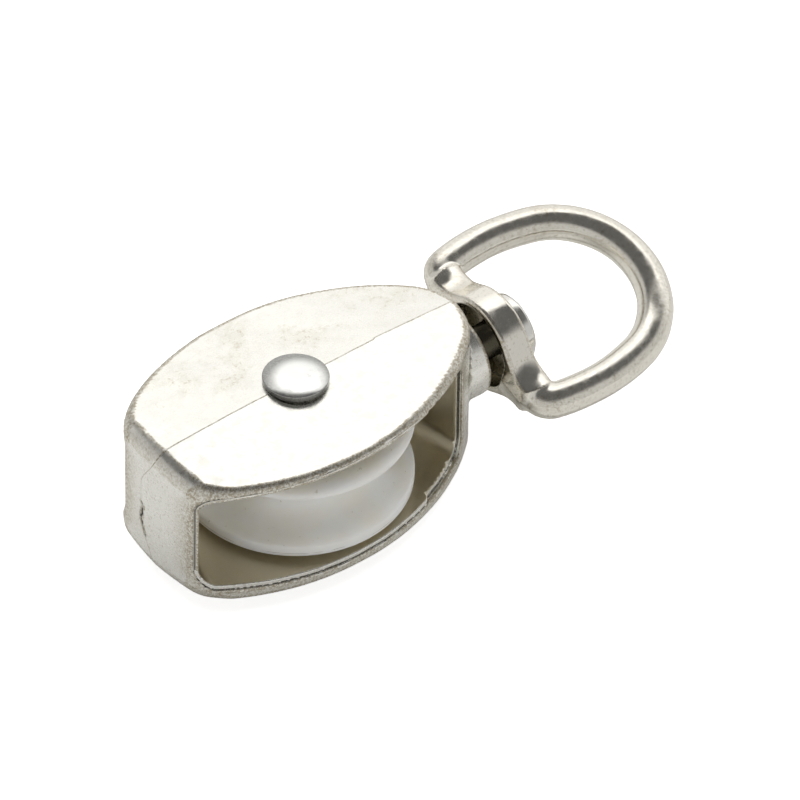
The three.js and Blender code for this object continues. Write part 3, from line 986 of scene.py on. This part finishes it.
def nickel_roughness(tree, medium, edges_and_lip, gloss, edge_mark_share):
    worn = map_range(tree, medium, *GLOSS_NOISE, *gloss)
    dull = math_node(tree, "MULTIPLY_ADD", edges_and_lip, DULL_EDGES * edge_mark_share, attribute(tree, "crack"))
    inside = math_node(tree, "MULTIPLY_ADD", attribute(tree, "inside"), INSIDE_DULLING, worn)
    return math_node(tree, "MULTIPLY_ADD", dull, DULLING, inside)


def nickel_relief(tree, where, medium, edges_and_lip, grain_um, edge_um):
    """Fine grain, most on walls and insides, over gentle waves, and pits on the edges and the opening's
    lip walls.
    """
    on_walls = scaled(tree, attribute(tree, "wall"), *WALL_GRAIN)
    grainy = math_node(tree, "MAXIMUM", on_walls, scaled(tree, attribute(tree, "inside"), *INSIDE_GRAIN))
    grain = product(tree, noise(tree, where, GRAIN_SIZE, detail=2.0), grainy)
    pitted = product(tree, noise(tree, where, PIT_SIZE, detail=4.0, roughness=0.7), edges_and_lip)
    normal = bump(tree, medium, CAST_MEDIUM_DEPTH, bump(tree, grain, grain_um))
    return bump(tree, pitted, edge_um, normal)


def cast_nickel(name, bright, inner, gloss, grain_um, edge_um, edge_mark_share):
    """Nickel plate over a cast skin."""
    material, tree, shader, where = new_material(name)
    edge = map_range(tree, attribute(tree, "edge"), *EDGE_BEND)
    # Edges and the opening's lip walls, where the brown is partly wear and partly painted dark reflection
    lip_walls = product(tree, attribute(tree, "lip"), attribute(tree, "wall"))
    edges_and_lip = math_node(tree, "MAXIMUM", edge, lip_walls)
    medium = noise(tree, where, CAST_MEDIUM_SIZE)
    colour = nickel_colour(tree, where, edge, edges_and_lip, bright, inner, edge_mark_share)
    roughness = nickel_roughness(tree, medium, edges_and_lip, gloss, edge_mark_share)
    normal = nickel_relief(tree, where, medium, edges_and_lip, grain_um, edge_um)
    tree.links.new(colour, shader.inputs["Base Color"])
    tree.links.new(roughness, shader.inputs["Roughness"])
    tree.links.new(normal, shader.inputs["Normal"])
    shader.inputs["Metallic"].default_value = 1.0
    return material


def from_centre(tree, where, centre):
    """Distance in the XY plane from a point."""
    parts = add_node(tree, "ShaderNodeSeparateXYZ", Vector=where).outputs
    across = [math_node(tree, "SUBTRACT", parts[axis], middle) for axis, middle in zip("XY", centre)]
    squares = [product(tree, part, part) for part in across]
    return math_node(tree, "SQRT", math_node(tree, "ADD", *squares))


def rivet_steel(name, tint, reflection_ring=False):
    """Plated steel. With reflection_ring, a grey ring is painted round the head as a reflection, centred
    a little towards the near side, so the middle and the near side stay bright.
    """
    material, tree, shader, where = new_material(name)
    fine = noise(tree, where, STEEL_FINE_SIZE, detail=2.0)
    medium = noise(tree, where, STEEL_MEDIUM_SIZE)
    smudged = product(tree, map_range(tree, medium, *SMUDGES), SMUDGE_SHARE)
    colour = mix_colour(tree, smudged, rgb(*tint), rgb(*SMUDGE))
    if reflection_ring:
        # Painted reflection: a grey ring round the outer head
        from_middle = from_centre(tree, where, [part * MM for part in REFLECTION_RING_CENTRE])
        around = map_range(tree, from_middle, *[reach * MM for reach in REFLECTION_RING_REACH])
        ring = product(tree, around, scaled(tree, fine, *REFLECTION_RING_SHARE))
        colour = mix_colour(tree, ring, colour, rgb(*REFLECTION_RING_GREY))
    # Painted shade: near black on the pin's shank in the bore
    colour = mix_colour(tree, attribute(tree, "inside"), colour, rgb(*GRIME_AND_SHADE))
    tree.links.new(colour, shader.inputs["Base Color"])
    shader.inputs["Metallic"].default_value = 1.0
    tree.links.new(map_range(tree, medium, *GLOSS_NOISE, *STEEL_GLOSS), shader.inputs["Roughness"])
    normal = bump(tree, medium, STEEL_MEDIUM_DEPTH, bump(tree, fine, STEEL_FINE_DEPTH))
    tree.links.new(normal, shader.inputs["Normal"])
    return material


def mould_mark(tree, where, broad):
    """The share of the broken mould line, low on the sheave's rim."""
    height = add_node(tree, "ShaderNodeSeparateXYZ", Vector=where).outputs["Z"]
    from_line = math_node(tree, "ABSOLUTE", math_node(tree, "SUBTRACT", height, MARK_Z * MM))
    mark = map_range(tree, from_line, *[width * MM for width in MARK_WIDTH])
    broken = map_range(tree, broad, *MARK_GAPS)
    radius = from_centre(tree, where, (0.0, 0.0))
    outer = map_range(tree, radius, *[(SHEAVE_RADIUS - inset) * MM for inset in MARK_FROM_RIM])
    return product(tree, mark, broken, outer, MARK_SHARE)


def white_nylon():
    """Milky nylon: clouded, with specks, fine turning marks and a broken mould line."""
    material, tree, shader, where = new_material("white_nylon")
    fine = noise(tree, where, NYLON_FINE_SIZE, detail=2.0)
    broad = noise(tree, where, NYLON_BROAD_SIZE)
    clouds = map_range(tree, broad, *NYLON_CLOUDS)
    dots = noise(tree, where, NYLON_SPECK_SIZE, detail=2.0, roughness=0.6)
    specks = map_range(tree, dots, *NYLON_SPECKS)
    colour = mix_colour(tree, clouds, rgb(*NYLON), rgb(*NYLON_CLOUD))
    colour = mix_colour(tree, mould_mark(tree, where, broad), colour, rgb(*NYLON_MARK))
    colour = mix_colour(tree, product(tree, specks, NYLON_SPECK_SHARE), colour, rgb(*NYLON_SPECK))
    tree.links.new(colour, shader.inputs["Base Color"])
    tree.links.new(map_range(tree, broad, *GLOSS_NOISE, *NYLON_GLOSS), shader.inputs["Roughness"])
    shader.inputs["Subsurface Weight"].default_value = NYLON_MILKINESS
    shader.inputs["Subsurface Radius"].default_value = NYLON_GLOW
    shader.inputs["Subsurface Scale"].default_value = NYLON_GLOW_REACH * MM
    tree.links.new(bump(tree, fine, NYLON_DEPTH), shader.inputs["Normal"])
    return material


# ---- Studio ---------------------------------------------------------------

CAMERA_AZIMUTH = math.radians(-38)
CAMERA_ELEVATION = math.radians(44)
VIEW_WIDTH = 84.66
CAMERA_ROLL = math.radians(0.83)
VIEW_OFFSET = (11.09, 4.24)
LENS = 900.0
SENSOR = 36.0
CLIP = 10

FLOOR_HALF = 3.0
FLOOR_WHITE = (0.88, 0.88, 0.87)
FLOOR_LIFT = 0.75

# The world by direction: heights and sides are cosines, brightnesses are strengths
WORLD_WHITE = (1.0, 0.995, 0.98)
DOME_TOP = 0.13
DOME_LOW = 0.62
DOME_HEIGHT = (0.72, 0.45)
PANEL_START = 0.36
PANEL_SOFTNESS = 0.12
PANEL_LEFT = (-0.62, -0.36)
PANEL_HEIGHT = (0.45, 0.8)
PANEL_LOW = 1.0
PANEL_HIGH = 1.5

FILL_ENERGY = 2.7
FILL_SIZE = 0.8
FILL_PLACE = (0.1, 0.1, 0.7)


def camera_axes():
    """Right, up and towards-the-camera directions of the picture."""
    a, e = CAMERA_AZIMUTH, CAMERA_ELEVATION
    back = Vector((math.sin(a) * math.cos(e), -math.cos(a) * math.cos(e), math.sin(e)))
    right = Vector((math.cos(a), math.sin(a), 0))
    return right, back.cross(right), back


def make_camera():
    level_right, level_up, back = camera_axes()
    right = level_right * math.cos(CAMERA_ROLL) + level_up * math.sin(CAMERA_ROLL)
    up = back.cross(right)
    data = bpy.data.cameras.new("camera")
    data.lens = LENS
    data.sensor_width = SENSOR
    distance = VIEW_WIDTH * MM * LENS / SENSOR
    data.clip_start = distance / CLIP
    data.clip_end = distance * CLIP
    camera = in_scene("camera", data)
    target = Vector((0, 0, MID_Z)) + VIEW_OFFSET[0] * right + VIEW_OFFSET[1] * up
    turn = Matrix((right, up, back)).transposed().to_4x4()
    camera.matrix_world = Matrix.Translation(target * MM + back * distance) @ turn
    bpy.context.scene.camera = camera


def make_floor():
    half = FLOOR_HALF
    mesh = bpy.data.meshes.new("floor")
    corners = [(-half, -half, 0), (half, -half, 0), (half, half, 0), (-half, half, 0)]
    mesh.from_pydata(corners, [], [(0, 1, 2, 3)])
    floor = in_scene("floor", mesh)
    material, tree, shader, _ = new_material("floor_white")
    shader.inputs["Base Color"].default_value = rgb(*FLOOR_WHITE)
    shader.inputs["Roughness"].default_value = 1.0
    shader.inputs["Specular IOR Level"].default_value = 0.0
    seen = tree.nodes.new("ShaderNodeLightPath").outputs["Is Camera Ray"]
    shader.inputs["Emission Color"].default_value = rgb(1.0, 1.0, 1.0)
    tree.links.new(math_node(tree, "MULTIPLY", seen, FLOOR_LIFT), shader.inputs["Emission Strength"])
    mesh.materials.append(material)


def along(tree, direction, axis):
    """How far a direction runs along an axis, as a cosine."""
    node = add_node(tree, "ShaderNodeVectorMath", {"operation": "DOT_PRODUCT"})
    tree.links.new(direction, node.inputs[0])
    node.inputs[1].default_value = axis
    return node.outputs["Value"]


def studio_strength(tree):
    """A bright panel behind the block, a dark overhead zone and paler low sides."""
    direction = tree.nodes.new("ShaderNodeTexCoord").outputs["Generated"]
    right, _, back = camera_axes()
    ahead = Vector((-back.x, -back.y, 0)).normalized()
    height = along(tree, direction, Vector((0, 0, 1)))
    low_side = map_range(tree, height, *DOME_HEIGHT)
    dome = math_node(tree, "MULTIPLY_ADD", low_side, DOME_LOW - DOME_TOP, DOME_TOP)
    forward = along(tree, direction, ahead)
    in_front = map_range(tree, forward, PANEL_START, PANEL_START + PANEL_SOFTNESS)
    panel = product(tree, in_front, map_range(tree, along(tree, direction, right), *PANEL_LEFT))
    brightness = map_range(tree, height, *PANEL_HEIGHT, PANEL_LOW, PANEL_HIGH)
    return math_node(tree, "MULTIPLY_ADD", panel, math_node(tree, "SUBTRACT", brightness, dome), dome)


def make_world():
    world = bpy.data.worlds.new("studio")
    world.use_nodes = True
    tree = world.node_tree
    tree.nodes.clear()
    background = add_node(tree, "ShaderNodeBackground", Strength=studio_strength(tree))
    background.inputs["Color"].default_value = rgb(*WORLD_WHITE)
    output = tree.nodes.new("ShaderNodeOutputWorld")
    tree.links.new(background.outputs[0], output.inputs["Surface"])
    bpy.context.scene.world = world


def make_fill():
    """A large soft lamp above that lights the floor and the nylon without showing in the metal."""
    data = bpy.data.lights.new("overhead_fill", "AREA")
    data.shape = "DISK"
    data.size = FILL_SIZE
    data.energy = FILL_ENERGY
    lamp = in_scene("overhead_fill", data)
    lamp.location = FILL_PLACE
    lamp.visible_glossy = False


def finish_piece(piece, material, body, node):
    piece.data.materials.clear()
    piece.data.materials.append(material)
    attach(piece, body)
    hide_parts(node)


def main():
    make_camera()
    make_floor()
    make_world()
    make_fill()
    housing_look = cast_nickel(
        "nickel_on_casting", HOUSING_NICKEL, INSIDE_SHADE,
        gloss=(0.20, 0.32), grain_um=7.0, edge_um=20.0, edge_mark_share=0.85)
    eye_look = cast_nickel(
        "nickel_on_eye", EYE_NICKEL, CUP_SHADE,
        gloss=(0.12, 0.24), grain_um=6.0, edge_um=5.0, edge_mark_share=0.3)
    finish_piece(make_housing(), housing_look, "housing", "housing")
    finish_piece(make_eye(), eye_look, "swivel_eye", "swivel_eye")
    finish_piece(make_sheave(), white_nylon(), "sheave", "sheave")
    rivet_look = rivet_steel("steel_rivet", RIVET_STEEL, reflection_ring=True)
    pin_look = rivet_steel("steel_pin", PIN_STEEL)
    finish_piece(make_rivet(), rivet_look, "housing", "axle_rivet")
    finish_piece(make_pin(), pin_look, "housing", "swivel_pin")
    bpy.context.scene.view_settings.view_transform = "Standard"


main()
